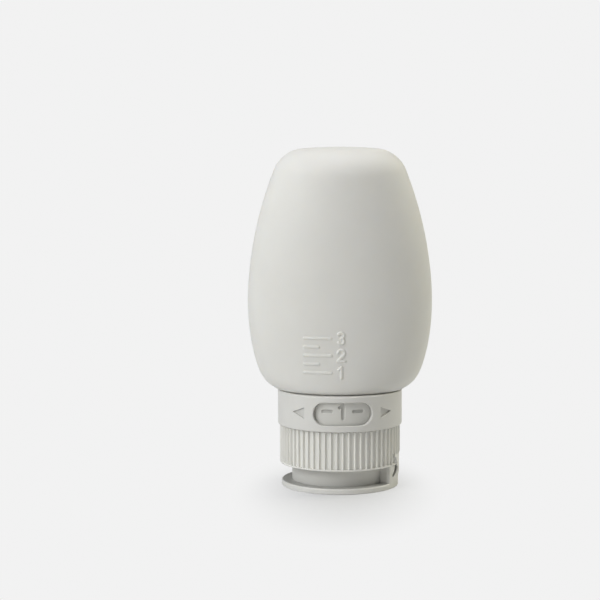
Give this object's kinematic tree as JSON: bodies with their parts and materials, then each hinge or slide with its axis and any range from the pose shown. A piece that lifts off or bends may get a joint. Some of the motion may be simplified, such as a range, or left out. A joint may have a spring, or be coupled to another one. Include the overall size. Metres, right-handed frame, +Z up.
{
  "type": "travel silicone bottle",
  "caption": "Squeezable oval silicone travel bottle standing on its flip lid, with a ribbed screw cap, a living hinge and a turning label window.",
  "frame": {"origin": "middle of the flip lid's underside, on which the bottle stands", "axes": "+Z up along the bottle, +X towards the lid's hinge, the label window faces -Y"},
  "size_m": [0.0542, 0.0366, 0.1],
  "materials": {
    "silicone": "soft matt silicone, warm light grey",
    "valve_silicone": "soft translucent silicone",
    "cap_plastic": "moulded polypropylene, satin, warm light grey",
    "collar_plastic": "moulded polypropylene, satin, warm light grey",
    "ring_plastic": "moulded polypropylene, fine matt",
    "neck_plastic": "moulded polypropylene, satin"
  },
  "bodies": {
    "bottle": {"bottle_body": "silicone", "threaded_neck": "neck_plastic", "label_ring": "ring_plastic"},
    "collar": {"window_collar": "collar_plastic"},
    "cap_carriage": {"valve_retainer": "neck_plastic"},
    "cap": {"screw_cap": "cap_plastic", "drip_valve": "valve_silicone", "hinge_strap": "cap_plastic"},
    "lid": {"flip_lid": "cap_plastic"}
  },
  "joints": [
    {"name": "collar_turn", "type": "hinge", "parent": "bottle", "child": "collar", "pos_m": [0, 0, 0.02358], "axis": [0, 0, 1], "continuous": true},
    {"name": "cap_lift", "type": "slide", "parent": "bottle", "child": "cap_carriage", "axis": [0, 0, -1], "range_m": [0, 0.0076]},
    {"name": "cap_turn", "type": "hinge", "parent": "cap_carriage", "child": "cap", "pos_m": [0, 0, 0.0125], "axis": [0, 0, -1], "range_deg": [0, 900]},
    {"name": "lid_hinge", "type": "hinge", "parent": "cap", "child": "lid", "pos_m": [0.0173, 0, 0.00675], "axis": [0, -1, 0], "range_deg": [0, 150], "deforming": ["hinge_strap"]}
  ],
  "couplings": [
    {"joint": "cap_lift", "follows": "cap_turn", "m_per_rad": 0.00047746}
  ]
}
